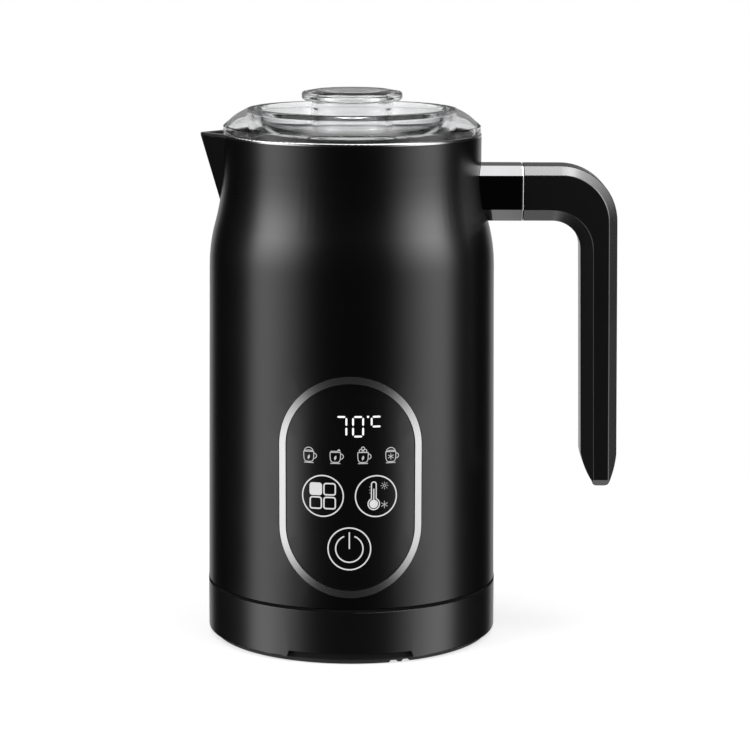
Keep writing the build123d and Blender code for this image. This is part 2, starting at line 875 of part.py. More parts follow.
def display_corners():
    """Places of the display board's four posts."""
    inset = display_post_radius + seat_gap
    x = display_half - inset
    return [(side * x, z) for side in (-1, 1) for z in (display_bottom + inset, display_top - inset)]


def panel_carrier():
    carrier = panel_layer(carrier_outset, carrier_outset + carrier_wall, panel_prism(carrier_margin))
    width, height = digit_size[:2]
    z = panel_middle + digit_rise
    room = 2 * window_gap
    carrier -= block(digit_shift, z, width + room, height + room, display_front, reach_out)
    for x in icon_places:
        carrier -= rod(x, panel_middle + icon_rise, icon_window, display_front, reach_out)
    for x, z in key_places():
        carrier -= rod(x, z, pad_radius + window_gap, display_front, reach_out)
    posts = [rod(x, z, display_post_radius, display_front, reach_out) for x, z in display_corners()]
    core = jug_form(carrier_outset + carrier_wall / 2, jug_bottom, shell_top)
    for post in posts:
        carrier += post & core
    return carrier


def display_board():
    middle = (display_bottom + display_top) / 2
    height = display_top - display_bottom
    return block(0, middle, 2 * display_half, height, display_front - display_thickness, display_front)


def digit_display():
    width, height, depth = digit_size
    z = panel_middle + digit_rise
    return block(digit_shift, z, width, height, display_front, display_front + depth)


def icon_lamps():
    far = display_front + lamp_height
    z = panel_middle + icon_rise
    return together(block(x, z, lamp_size, lamp_size, display_front, far) for x in icon_places)


def touch_pads():
    far = display_front + pad_length
    return together(rod(x, z, pad_radius, display_front, far) for x, z in key_places())


# Handle
def handle_bracket():
    length = ferrule_end + tongue_reach
    tongue = Pos(length / 2, 0, arm_middle) * Box(length, tongue_width, tongue_height)
    tongue -= pillar((screw_x, 0), screw_radius + shaft_gap, arm_bottom, arm_middle)
    return tongue - jug_form(0, jug_bottom, shell_top)


def handle_ferrule():
    sleeve = arm_prism(0, neck_radius / 2, ferrule_end)
    rim = sleeve.faces().sort_by(Axis.X)[-1].edges()
    sleeve = chamfer(rim, ferrule_lip)
    sleeve -= arm_prism(ferrule_wall, neck_radius / 2, ferrule_end)
    return sleeve - jug_form(-seat_gap, jug_bottom, shell_top)


def lengthwise(bar):
    """Edges that run along the grip, without those across it or round its two ends."""
    def runs_along(edge):
        spot = edge.center()
        ends = (abs(spot.X - grip_start), abs(spot.Z - grip_bottom), abs(spot.Y))
        return min(ends) > seat_gap
    return bar.edges().filter_by(runs_along)


def is_outer(edge):
    """True for an edge on the grip's top and outer side, away from the jug."""
    spot = edge.center()
    return spot.Z > arm_middle or spot.X > grip_top_reach - grip_thickness / 2


def grip_bar():
    """Grip before its tip is shaped: arm, bend and straight grip with bevelled, softened edges."""
    outline = FilletPolyline(
        (grip_start, arm_top),
        (grip_top_reach, arm_top),
        (grip_bottom_reach, grip_bottom),
        (grip_bottom_reach - grip_thickness, grip_bottom),
        (grip_top_reach - grip_thickness, arm_bottom),
        (grip_start, arm_bottom),
        radius=(0, outer_bend, 0, 0, inner_bend, 0),
        close=True,
    )
    bar = extrude(Plane.XZ * make_face(outline), amount=handle_width / 2, both=True)
    bar = chamfer(lengthwise(bar).filter_by(is_outer), outer_bevel)
    bar = chamfer(lengthwise(bar).filter_by(is_outer, reverse=True), inner_bevel)
    return fillet(lengthwise(bar), grip_edge_round)


def tip_waste(side, inset):
    """Waste beside the grip's tapered tip, on its outer (1) or inner (-1) side."""
    top = grip_bottom + tip_height
    lean = grip_splay / grip_length
    face = grip_bottom_reach if side > 0 else grip_bottom_reach - grip_thickness
    start = (face - lean * tip_height, top)
    end = (face - side * inset, grip_bottom + tip_round)
    middle = ((start[0] + end[0]) / 2 + side * tip_bulge * inset, (start[1] + end[1]) / 2)
    foot = (end[0] - side * tip_round, grip_bottom)
    eased = tip_round * (1 - math.sqrt(0.5))
    corner = (end[0] - side * eased, grip_bottom + eased)
    away = face + side * grip_thickness
    low = grip_bottom - tip_round
    outline = ThreePointArc(start, middle, end) + ThreePointArc(end, corner, foot)
    outline += Polyline(foot, (foot[0], low), (away, low), (away, top), start)
    return extrude(Plane.XZ * make_face(outline), amount=handle_width, both=True)


def tip_bevels():
    """Waste under the tip's front and back lower edges."""
    half = handle_width / 2
    low = grip_bottom - tip_bevel
    corners = [(half, grip_bottom + tip_bevel), (half - 2 * tip_bevel, low), (half, low)]
    outline = Polyline(*corners, close=True)
    wedge = extrude(Plane.YZ * make_face(outline), amount=reach_out)
    return wedge + mirror(wedge, about=Plane.XZ)


def handle_grip():
    grip = grip_bar() - tip_waste(1, tip_outer_inset) - tip_waste(-1, tip_inner_inset) - tip_bevels()
    pocket = tongue_height + 2 * seat_gap
    length = tongue_reach + seat_gap
    grip -= Pos(ferrule_end + length / 2, 0, arm_middle) * Box(length, tongue_width + 2 * seat_gap, pocket)
    grip -= pillar((screw_x, 0), head_radius + seat_gap, arm_bottom, arm_bottom + handle_screw_bore)
    return grip - pillar((screw_x, 0), screw_radius + seat_gap, arm_bottom, arm_middle)


def handle_screw():
    seat = arm_bottom + handle_screw_bore
    return screws([(screw_x, 0)], seat, arm_middle - seat_gap, screw_radius, head_radius, head_height)


PIECES = (
    base_housing, base_bottom_plate, foot_ring, base_screws, base_plug, base_contacts, cord_gland,
    jug_shell, rim_ring, inner_pot, whisk_pivot, jug_bottom_cover, jug_socket, jug_contacts, control_board,
    motor, motor_bracket, motor_screws, bracket_screws,
    heater_plate, heater_element, temperature_sensor, thermal_cutout,
    motor_shaft, magnet_carrier, drive_magnets, whisk_hub, whisk_magnets, whisk_coil,
    lid_cover, lid_knob, lid_gasket,
    panel_bezel, panel_lens, panel_carrier, display_board, digit_display, icon_lamps, touch_pads,
    handle_bracket, handle_ferrule, handle_grip, handle_screw,
)


def main():
    os.makedirs("parts", exist_ok=True)
    for piece in PIECES:
        export_step(piece(), f"parts/{piece.__name__}.step")
    print(f"least gap between turns of the whisk coil: {coil_gap():.2f} mm")


if __name__ == "__main__":
    main()
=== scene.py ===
"""Looks, lit display, lid and studio of an electric milk frother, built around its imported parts."""

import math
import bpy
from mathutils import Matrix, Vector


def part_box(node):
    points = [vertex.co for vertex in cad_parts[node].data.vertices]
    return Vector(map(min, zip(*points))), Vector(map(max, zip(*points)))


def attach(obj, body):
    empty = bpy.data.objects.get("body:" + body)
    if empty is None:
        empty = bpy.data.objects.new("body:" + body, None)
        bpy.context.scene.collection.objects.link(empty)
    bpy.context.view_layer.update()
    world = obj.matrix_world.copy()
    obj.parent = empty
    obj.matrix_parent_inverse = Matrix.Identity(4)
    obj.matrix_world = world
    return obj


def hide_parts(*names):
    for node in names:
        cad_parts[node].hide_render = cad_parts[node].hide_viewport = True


bl_info = {
    "name": "Milk Frother",
    "version": (1, 0, 0),
    "blender": (4, 5, 0),
    "location": "View3D > Sidebar > Frother",
    "description": "Finishes, lit display, clear lid and studio for an electric milk frother",
    "category": "Object",
}

import bmesh
import bpy
import numpy as np
from bpy.props import FloatProperty, FloatVectorProperty, PointerProperty
from mathutils import Matrix

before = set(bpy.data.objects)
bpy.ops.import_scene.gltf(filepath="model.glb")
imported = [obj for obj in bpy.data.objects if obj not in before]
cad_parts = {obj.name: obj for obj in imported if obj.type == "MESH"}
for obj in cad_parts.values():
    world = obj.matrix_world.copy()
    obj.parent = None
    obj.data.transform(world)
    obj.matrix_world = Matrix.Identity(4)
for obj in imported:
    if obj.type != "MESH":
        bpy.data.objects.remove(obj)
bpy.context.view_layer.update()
MM = 0.001
WELD_REACH = 1e-7
SHARP_EDGE = math.radians(40)


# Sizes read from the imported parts
def node_points(node):
    """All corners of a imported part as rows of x, y, z."""
    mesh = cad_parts[node].data
    flat = np.empty(len(mesh.vertices) * 3)
    mesh.vertices.foreach_get("co", flat)
    return flat.reshape(-1, 3)


def front_wall(node):
    """Slope and offset of a curved panel's outer radius against height."""
    points = node_points(node)
    radius = np.hypot(points[:, 0], points[:, 1])
    outer = radius > (radius.min() + radius.max()) / 2
    return np.polyfit(points[outer, 2], radius[outer], 1)


LENS_LOW, LENS_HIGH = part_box("panel_lens")
LENS_MIDDLE = (LENS_LOW.z + LENS_HIGH.z) / 2
LENS_WALL = front_wall("panel_lens")


# Settings that a user would change
def length(name, description, millimetres):
    """A length setting, given in millimetres and kept in metres."""
    default = millimetres * MM
    return FloatProperty(name=name, description=description, default=default, unit="LENGTH", precision=5)


def shade(name, description, default):
    """A colour setting."""
    return FloatVectorProperty(name=name, description=description, subtype="COLOR", default=default)


def degrees(name, description, default):
    """An angle setting, given in degrees and kept in radians."""
    return FloatProperty(name=name, description=description, subtype="ANGLE", default=math.radians(default))


def share(name, description, default):
    """A setting from 0 to 1."""
    return FloatProperty(name=name, description=description, subtype="FACTOR", default=default, min=0, max=1)


def amount(name, description, default, unit="NONE"):
    """A setting from 0 up."""
    return FloatProperty(name=name, description=description, unit=unit, default=default, min=0)


class FrotherFinish(bpy.types.PropertyGroup):
    """Colours, gloss and light of the frother's surfaces."""

    paint: shade("Jug paint", "Colour of the painted jug", (0.0003, 0.0003, 0.0003))
    paint_roughness: share("Paint roughness", "Spread of the paint's highlights", 0.28)
    grip: shade("Grip", "Colour of the handle's plastic", (0.006, 0.006, 0.0062))
    base: shade("Base", "Colour of the base's plastic", (0.0014, 0.0014, 0.0015))
    trim: shade("Panel trim", "Colour of the metal frame", (0.56, 0.56, 0.565))
    lid: shade("Lid", "Tint of the clear lid", (0.96, 0.963, 0.966))
    lid_bend: amount("Lid bending", "Refractive index of the lid's cup", 1.22)
    dome_bend: amount("Dome bending", "Refractive index of the lid's dome", 1.03)
    dome_coat: share("Dome shine", "Weight of the clear coat on the dome", 0.7)
    knob_bend: amount("Knob bending", "Refractive index of the knob", 1.42)
    glow: shade("Display light", "Colour of the lit signs", (1.0, 1.0, 1.0))
    digit_glow: amount("Digit light", "Brightness of the digits", 1.2)
    icon_glow: amount("Icon light", "Brightness of the row of cups", 0.55)
    key_glow: amount("Key light", "Brightness of the keys", 0.75)
    mark_glow: amount("Mark light", "Brightness of the marks in the temperature key", 0.42)


class FrotherLid(bpy.types.PropertyGroup):
    """Sizes of the clear lid and its knob."""

    wall: length("Wall", "Thickness of the lid", 2.0)
    ring: length("Ring radius", "Outer radius of the flat top ring", 37.9)
    ring_land: length("Ring width", "Width of the flat top ring", 3.4)
    flange: length("Flange", "Height of the upright edge", 2.7)
    bulge: length("Bulge", "Rise of the flank above a straight cone", 0.8)
    bulge_round: length("Bulge rounding", "Rounding of the flank's bulge", 40.0)
    dish_depth: length("Dish depth", "Depth of the dish below the ring", 7.5)
    dish_slope: length("Dish slope", "Run of the dish's sloping side", 5.0)
    dish_round: length("Dish rounding", "Rounding at the foot of the dish's side", 7.0)
    gap: length("Gap", "Gap between the cup and the dome", 0.06)
    edge: length("Edge rounding", "Rounding of the moulding's edges", 0.45)
    knob_neck: length("Knob neck", "Radius of the knob's neck", 15.0)
    knob_top: length("Knob top", "Radius of the knob's flat top", 13.5)
    knob_bevel: length("Knob bevel", "Drop from the flat top to the edge", 0.8)
    knob_edge: length("Knob edge", "Height of the knob's edge", 2.8)
    knob_under: length("Knob underside", "Drop from the edge to the neck", 0.7)
    knob_round: length("Knob rounding", "Rounding of the knob's edge", 1.3)
    knob_wall: length("Knob wall", "Thickness of the knob", 2.2)


class FrotherTrim(bpy.types.PropertyGroup):
    """Sizes of the panel's frame, the near-black ring of painted shade at the base's seam and the ferrule's
    bead.
    """

    bezel: length("Bezel", "Width of the panel's frame", 2.5)
    # The next four settings size a near-black ring of painted shade that fills the gap between the jug and
    # the base
    shade_ring_gap: length("Seal gap", "Gap between the seal and the jug", 0.3)
    shade_ring_height: length("Seal height", "From the jug down to the seal's lower edge", 1.25)
    shade_ring_depth: length("Seal depth", "Width of the seal", 1.5)
    shade_ring_proud: length("Seal proud", "How far the seal stands out of the base", 0.02)
    bead: length("Bead", "Radius of the bead's wire", 0.42)
    bead_place: length("Bead place", "Distance of the bead from the ferrule's end", 0.42)
    upper_bevel: length("Upper bevel", "Bevel of the ferrule's upper edges", 3.3)
    lower_bevel: length("Lower bevel", "Bevel of the ferrule's lower edges", 4.5)


class FrotherSigns(bpy.types.PropertyGroup):
    """Sizes and places of the lit signs, measured along the lens from its middle."""

    lift: length("Lift", "Height of a sign above the lens", 0.07)
    line: length("Line", "Width of a sign's lines", 0.45)
    fine: length("Fine line", "Width of the small icons' lines", 0.28)
    digit_rise: length("Digit rise", "Height of the digits' middle", 22.1)
    digit_height: length("Digit height", "Height of a digit", 7.65)
    digit_width: length("Digit width", "Width of a digit", 4.2)
    digit_shift: length("Digit shift", "Place of the last digit beside the lens's middle", 2.75)
    digit_pitch: length("Digit pitch", "Distance between two digits", 5.92)
    digit_line: length("Digit line", "Width of a digit's bars", 0.65)
    icon_rise: length("Icon rise", "Height of the row of cups", 12.2)
    icon_size: length("Icon size", "Width of a cup", 3.7)
    key_rise: length("Key rise", "Height of the two upper keys", -3.0)
    key_spread: length("Key spread", "Distance of the upper keys from the middle", 9.53)
    power_rise: length("Power rise", "Height of the power key", -22.0)
    key_radius: length("Key radius", "Radius of a key's ring", 7.38)
    key_shift: length("Key shift", "Distance of the keys' middle from the lens's middle", -0.3)


class FrotherStage(bpy.types.PropertyGroup):
    """Camera, lamps and floor."""

    camera_place: FloatVectorProperty(
        name="Camera place", description="Where the camera stands", subtype="TRANSLATION",
        default=(0.00864, -0.9576, 0.2685),
    )
    camera_pitch: degrees("Camera pitch", "Downward tilt", 10.21)
    camera_roll: degrees("Camera roll", "Turn about the view line", 0.166)
    camera_lens: amount("Focal length", "In millimetres", 125.8, "CAMERA")
    camera_sensor: amount("Sensor width", "In millimetres", 36.0, "CAMERA")
    side_light: amount("Side light", "Radiance of the side lamps", 2.85)
    upper_share: amount("Upper share", "Radiance of their upper part, as a multiple of the lower", 3.0)
    top_light: amount("Top light", "Radiance of the lamp overhead", 6.5)
    low_light: amount("Low light", "Radiance from below", 0.5)
    back_light: amount("Back light", "Radiance of the glow behind", 0.85)
    room_light: amount("Room light", "Radiance all round", 0.01)
    floor_grey: share("Floor grey", "Share of light that the floor throws back", 0.3)
    floor_glow: amount("Floor glow", "Light that keeps the floor's shadow faint", 0.62)


SETTINGS = {
    "frother_finish": FrotherFinish,
    "frother_lid": FrotherLid,
    "frother_trim": FrotherTrim,
    "frother_signs": FrotherSigns,
    "frother_stage": FrotherStage,
}


# Shader maths as Python expressions
class Wire:
    """An output socket. Arithmetic on it adds Math nodes."""

    def __init__(self, graph, socket):
        self.graph = graph
        self.socket = socket

    def math(self, operation, first, second):
        return self.graph.node("ShaderNodeMath", {"operation": operation}, {0: first, 1: second})

    def __add__(self, other):
        return self.math("ADD", self, other)

    def __mul__(self, other):
        return self.math("MULTIPLY", self, other)

    __radd__ = __add__
    __rmul__ = __mul__


class Graph:
    """A node tree. One method adds any node and returns one of its outputs."""

    def __init__(self, tree):
        self.tree = tree
        tree.nodes.clear()

    def node(self, kind, settings=None, inputs=None, output=0):
        made = self.tree.nodes.new(kind)
        for key, value in (settings or {}).items():
            setattr(made, key, value)
        for key, value in (inputs or {}).items():
            if isinstance(value, Wire):
                self.tree.links.new(value.socket, made.inputs[key])
            else:
                made.inputs[key].default_value = value
        return Wire(self, made.outputs[output]) if made.outputs else None


def grey(value):
    """A neutral colour."""
    return (value, value, value)


def opaque(colour):
    """A colour with full alpha, as sockets take it."""
    return (*colour, 1.0)


def new_material(name):
    """An empty material and its graph."""
    material = bpy.data.materials.new(name)
    material.use_nodes = True
    return material, Graph(material.node_tree)


def noise(graph, scale, detail=2.0, stretch=(1, 1, 1)):
    """Soft noise over the object's own coordinates, from 0 to 1."""
    place = graph.node("ShaderNodeTexCoord", output="Object")
    place = graph.node("ShaderNodeMapping", inputs={"Vector": place, "Scale": stretch})
    return graph.node("ShaderNodeTexNoise", inputs={"Vector": place, "Scale": scale, "Detail": detail})


def uneven(graph, pattern, colour, darker, lighter):
    """Colour that goes with a pattern from a darker to a lighter tone of itself, each a multiple of it."""
    low = opaque(value * darker for value in colour)
    high = opaque(min(1.0, value * lighter) for value in colour)
    return graph.node("ShaderNodeMix", {"data_type": "RGBA"}, {0: pattern, 6: low, 7: high}, 2)


def around(pattern, middle, spread):
    """Value that goes with a pattern from half the spread below a middle to half of it above."""
    return pattern * spread + (middle - spread / 2)


def step(graph, value, start, end):
    """Smooth rise from 0 to 1 as an angle in radians goes from one angle in degrees to another."""
    inputs = {"Value": value, "From Min": math.radians(start), "From Max": math.radians(end)}
    return graph.node("ShaderNodeMapRange", {"interpolation_type": "SMOOTHSTEP"}, inputs)


def bump(graph, height, strength, distance):
    """Normal that follows a height."""
    inputs = {"Height": height, "Strength": strength, "Distance": distance}
    return graph.node("ShaderNodeBump", inputs=inputs)


def finish(graph, inputs):
    """Principled surface with these socket values."""
    surface = graph.node("ShaderNodeBsdfPrincipled", inputs=inputs)
    graph.node("ShaderNodeOutputMaterial", inputs={"Surface": surface})


def moulded(
    name, colour, roughness, specular=0.5, metallic=0.0, grain=1400.0, depth=0.02, spread=0.05, patch=40,
    darker=0.85, lighter=1.18, height=0.02 * MM,
):
    """Painted, moulded or metal finish: a fine grain in the bump, broad changes of gloss and tone.

    Grain is the scale of the fine noise and depth its strength. The broad noise is patch times as wide.
    """
    material, graph = new_material(name)
    fine = noise(graph, grain)
    broad = noise(graph, grain / patch, detail=3.0)
    finish(graph, {
        "Base Color": uneven(graph, broad, colour, darker, lighter),
        "Roughness": around(broad, roughness, spread),
        "Metallic": metallic,
        "Specular IOR Level": specular,
        "Normal": bump(graph, fine, depth, height),
    })
    return material


def brushed(
    name, colour, roughness, stretch, scale=900.0, depth=0.08, spread=0.12, darker=0.86, lighter=1.12,
    height=0.03 * MM,
):
    """Brushed metal: noise drawn out along the brush lines drives gloss, tone and bump."""
    material, graph = new_material(name)
    lines = noise(graph, scale, detail=4.0, stretch=stretch)
    finish(graph, {
        "Base Color": uneven(graph, lines, colour, darker, lighter),
        "Roughness": around(lines, roughness, spread),
        "Metallic": 1.0,
        "Normal": bump(graph, lines, depth, height),
    })
    return material


def clear(name, tint, bend, coat=0.0, scale=60.0, darker=0.99, haze=0.004):
    """Clear moulded plastic of a refractive index, with faint flow marks in its gloss and tint.

    A coat adds shine without bending the light more.
    """
    material, graph = new_material(name)
    flow = noise(graph, scale, detail=3.0)
    finish(graph, {
        "Base Color": uneven(graph, flow, tint, darker, 1.0),
        "Roughness": flow * haze,
        "IOR": bend,
        "Transmission Weight": 1.0,
        "Coat Weight": coat,
    })
    return material


def glowing(name, colour, strength, scale=500.0, darker=0.86, unlit=0.02):
    """Lit sign, a little uneven as light from a few lamps is."""
    material, graph = new_material(name)
    patches = noise(graph, scale)
    finish(graph, {
        "Base Color": opaque(grey(unlit)),
        "Roughness": 0.5,
        "Emission Color": uneven(graph, patches, colour, darker, 1.0),
        "Emission Strength": strength,
    })
    return material


def dress(material, *nodes):
    """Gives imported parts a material."""
    for node in nodes:
        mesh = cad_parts[node].data
        mesh.materials.clear()
        mesh.materials.append(material)


# Surfaces as grids of points
def quads(rows, columns, close_rows=False, close_columns=False):
    """Four-sided faces between neighbouring points of a grid, joined end to end where it closes."""
    row = np.arange(rows if close_rows else rows - 1)
    column = np.arange(columns if close_columns else columns - 1)
    here, beside = np.meshgrid(row, column, indexing="ij")
    next_row = (here + 1) % rows * columns
    next_column = (beside + 1) % columns
    this_row = here * columns
    corners = (this_row + beside, this_row + next_column, next_row + next_column, next_row + beside)
    return np.stack(corners, -1).reshape(-1, 4)


def rounded(corners, radii, steps=8, limit=0.42, guard=1.15):
    """Line through corners, each eased by a parabola.

    Point = (1 - t)^2 start + 2 t (1 - t) corner + t^2 end, for t from 0 to 1. Start and end lie on the two
    sides, at the distance where an arc of the given radius would touch them, and within limit times the
    shorter side. A point at that distance times guard keeps the sides flat in shading.
    """
    corners = np.asarray(corners)
    middle = corners[1:-1, None]
    before = corners[:-2, None] - middle
    after = corners[2:, None] - middle
    before_length = np.linalg.norm(before, axis=-1, keepdims=True)
    after_length = np.linalg.norm(after, axis=-1, keepdims=True)
    before /= before_length
    after /= after_length
    half = np.arccos(np.clip((before * after).sum(-1, keepdims=True), -1, 1)) / 2
    room = limit * np.minimum(before_length, after_length)
    reach = np.minimum(np.asarray(radii)[:, None, None] / np.tan(half), room)
    t = np.linspace(0, 1, steps)[None, :, None]
    curve = middle + (1 - t) ** 2 * before * reach + t ** 2 * after * reach
    lead = middle + before * reach * guard
    trail = middle + after * reach * guard
    eased = np.concatenate([lead, curve, trail], 1).reshape(-1, corners.shape[1])
    return np.concatenate([corners[:1], eased, corners[-1:]])


def lathe(profile, turns=160):
    """Surface turned about the jug's axis: point = (r cos a, r sin a, z) for profile r, z and angle a."""
    angle = np.linspace(0, 2 * math.pi, turns, endpoint=False)[:, None]
    radius, height = profile[None, :, 0], profile[None, :, 1]
    grid = np.stack([radius * np.cos(angle), radius * np.sin(angle), height + 0 * angle], -1)
    return grid.reshape(-1, 3), quads(turns, len(profile), close_rows=True)


def tube(path, radius, sides=12):
    """Round wire: path point + radius (cos a normal + sin a binormal), with both ends drawn to a point."""
    along = np.gradient(path, axis=0)
    along /= np.linalg.norm(along, axis=1, keepdims=True)
    normal = np.cross(along, np.roll(along, 1, axis=1))
    normal /= np.linalg.norm(normal, axis=1, keepdims=True)
    binormal = np.cross(along, normal)
    angle = np.linspace(0, 2 * math.pi, sides, endpoint=False)[None, :, None]
    ring = path[:, None] + radius * (np.cos(angle) * normal[:, None] + np.sin(angle) * binormal[:, None])
    caps = [np.repeat(path[end][None, None], sides, 1) for end in (0, -1)]
    grid = np.concatenate([caps[0], ring, caps[1]])
    return grid.reshape(-1, 3), quads(len(grid), sides, close_columns=True)


def joined(parts):
    """Several surfaces as one list of points and one list of faces."""
    points, faces = zip(*parts)
    starts = np.cumsum([0, *map(len, points)])
    return np.concatenate(points), np.concatenate([own + start for own, start in zip(faces, starts)])


def make_piece(name, surface, material, body, node=None):
    """Welded, smooth-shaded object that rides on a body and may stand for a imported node."""
    points, faces = surface
    mesh = bpy.data.meshes.new(name)
    mesh.from_pydata(points.tolist(), [], faces.tolist())
    work = bmesh.new()
    work.from_mesh(mesh)
    bmesh.ops.remove_doubles(work, verts=work.verts, dist=WELD_REACH)
    bmesh.ops.dissolve_degenerate(work, edges=work.edges, dist=WELD_REACH)
    bmesh.ops.recalc_face_normals(work, faces=work.faces)
    work.to_mesh(mesh)
    work.free()
    mesh.shade_smooth()
    mesh.set_sharp_from_angle(angle=SHARP_EDGE)
    mesh.materials.append(material)
    piece = bpy.data.objects.new(name, mesh)
    bpy.context.scene.collection.objects.link(piece)
    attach(piece, body)
    if node:
        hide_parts(node)


# Signs drawn on the lens. A cup's rim lies above its middle by a share of half its width
CUP_PLACES = np.array([-14.9, -5.3, 4.5, 14.5]) * MM
CUP_RIM = 0.35


def on_lens(along, height, lift):
    """Points off the lens's wall by a lift, turned round the axis by distance along it over radius."""
    radius = np.polyval(LENS_WALL, height) + lift
    angle = along / radius
    return np.stack([radius * np.sin(angle), -radius * np.cos(angle), height], -1)


def stroke(path, width, closed=False, lift=None):
    """Raised line on the lens: a four-cornered section carried along a path.

    The section is as wide as width, which may change from point to point, and reaches lift above and below
    the lens's wall. Path points are distance along the lens and height above its middle.
    """
    lift = lift or bpy.context.scene.frother_signs.lift
    path = np.asarray(path, dtype=float)
    if closed:
        along = np.roll(path, -1, 0) - np.roll(path, 1, 0)
    else:
        along = np.gradient(path, axis=0)
    along /= np.linalg.norm(along, axis=1, keepdims=True)
    half = np.broadcast_to(width, len(path))[:, None] / 2
    across = np.stack([-along[:, 1], along[:, 0]], 1) * half
    left, right = path + across, path - across
    flat = np.stack([left, left, right, right], 1)
    lifts = np.broadcast_to([-lift, lift, lift, -lift], flat.shape[:2])
    grid = np.concatenate([flat, lifts[..., None]], -1)
    if not closed:
        ends = [np.repeat(grid[end].mean(0)[None, None], 4, 1) for end in (0, -1)]
        grid = np.concatenate([ends[0], grid, ends[1]])
    points = on_lens(grid[..., 0], grid[..., 1] + LENS_MIDDLE, grid[..., 2])
    return points.reshape(-1, 3), quads(len(grid), 4, close_rows=closed, close_columns=True)


def arc(centre, radius, start=0.0, end=360.0, steps=72):
    """Path of a circle or ellipse, anticlockwise in degrees from the right. A full turn lacks its end."""
    angle = np.radians(np.linspace(start, end, steps, endpoint=end - start < 360))
    return np.asarray(centre) + np.stack([np.cos(angle), np.sin(angle)], 1) * radius


def line(start, end):
    """Straight path between two points."""
    return np.stack([start, end])


def circle(centre, radius, width):
    """Ring on the lens."""
    return stroke(arc(centre, radius), width, closed=True)


def spot(centre, radius, steps=25):
    """Filled disc: a stroke across it, as wide as the disc is there."""
    across = -np.cos(np.linspace(0, math.pi, steps)) * radius
    path = np.asarray(centre) + np.stack([across, 0 * across], 1)
    return stroke(path, 2 * np.sqrt(np.maximum(radius ** 2 - across ** 2, 0)))


def star(centre, radius, width, arms=3, first=90.0):
    """Crossed lines through one point, as on a snowflake. The first stands at an angle in degrees."""
    turns = np.radians(first + np.arange(arms) * 180 / arms)
    reach = np.stack([np.cos(turns), np.sin(turns)], 1) * radius
    return [stroke(line(centre - arm, centre + arm), width) for arm in reach]


def rays(centre, inner, outer, width, count=8):
    """Short lines round a point, as on a sun."""
    turns = np.radians(np.arange(count) * 360 / count)
    ways = np.stack([np.cos(turns), np.sin(turns)], 1)
    return [stroke(line(centre + way * inner, centre + way * outer), width) for way in ways]


def rounded_square(centre, size, corner, width):
    """Square ring with rounded corners."""
    half = size / 2
    corners = [(0, -half), (half, -half), (half, half), (-half, half), (-half, -half), (0, -half)]
    path = rounded(corners, [corner] * 4)[:-1]
    return stroke(np.asarray(centre) + path, width, closed=True)


def bar(start, end, width, tip=0.12):
    """Bar of a digit, drawn in at both ends to a tip that is a share of its width."""
    start, end = np.asarray(start), np.asarray(end)
    along = (end - start) / np.linalg.norm(end - start) * width / 2
    return stroke(np.stack([start, start + along, end - along, end]), np.array([tip, 1, 1, tip]) * width)


def digit(middle, size, width, bars):
    """Seven-bar digit. Bars are named by letters a to g, clockwise from the top, g across the middle."""
    right, upper = np.asarray(size) / 2 - width / 2
    left, lower = -right, -upper
    gap = width / 2
    ends = {
        "a": ((left + gap, upper), (right - gap, upper)),
        "b": ((right, upper - gap), (right, gap)),
        "c": ((right, -gap), (right, lower + gap)),
        "d": ((left + gap, lower), (right - gap, lower)),
        "e": ((left, -gap), (left, lower + gap)),
        "f": ((left, upper - gap), (left, gap)),
        "g": ((left + gap, 0), (right - gap, 0)),
    }
    middle = np.asarray(middle)
    return [bar(middle + start, middle + end, width) for start, end in (ends[name] for name in bars)]


# Operators
class FROTHER_OT_casing(bpy.types.Operator):
    """Paints the jug and finishes the base, the rim, the handle and the black mouldings."""

    bl_idname = "frother.casing"
    bl_label = "Finish casing"

    def execute(self, context):
        tone = context.scene.frother_finish
        gloss = tone.paint_roughness
        paint = moulded("satin_black_paint", tone.paint, gloss, grain=2600.0, depth=0.03, spread=0.03)
        dress(paint, "jug_shell")
        dress(moulded("satin_black_plastic", tone.base, gloss, specular=0.68, spread=0.03), "base_housing")
        dress(
            moulded("matte_black_plastic", grey(0.003), roughness=0.75, specular=0.25, depth=0.15),
            "base_bottom_plate", "base_plug", "jug_bottom_cover", "jug_socket", "panel_carrier",
        )
        dress(
            moulded("black_rubber", grey(0.012), roughness=0.7, depth=0.2),
            "foot_ring", "cord_gland", "lid_gasket",
        )
        dress(moulded("black_grip", tone.grip, roughness=0.22, specular=1.0, spread=0.04), "handle_grip")
        dress(
            moulded("chrome", (0.14, 0.14, 0.142), roughness=0.05, metallic=1.0, depth=0.0, spread=0.02),
            "handle_ferrule",
        )
        dress(moulded("polished_steel", grey(0.45), roughness=0.2, metallic=1.0), "rim_ring")
        return {"FINISHED"}


class FROTHER_OT_seam(bpy.types.Operator):
    """Makes a near-black ring that paints the shade in the gap between the base and the jug."""

    bl_idname = "frother.seam"
    bl_label = "Make seam"

    def execute(self, context):
        # Near-black, barely glossy ring: painted shade that stands in for the shaded gap at the seam
        painted_shade = moulded("seam_painted_shade", grey(0.002), roughness=0.9, specular=0.1, depth=0.1)
        make_piece("seam_shadow_ring", lathe(self.profile(context.scene.frother_trim)), painted_shade, "power_base")
        return {"FINISHED"}

    def profile(self, size):
        """Closed line of radius and height round the base's upper edge."""
        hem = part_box("jug_shell")[0].z
        outer = float(np.max(np.hypot(*node_points("base_housing")[:, :2].T))) + size.shade_ring_proud
        inner = outer - size.shade_ring_depth
        upper, lower = hem - size.shade_ring_gap, hem - size.shade_ring_height
        return np.array([(inner, upper), (outer, upper), (outer, lower), (inner, lower), (inner, upper)])


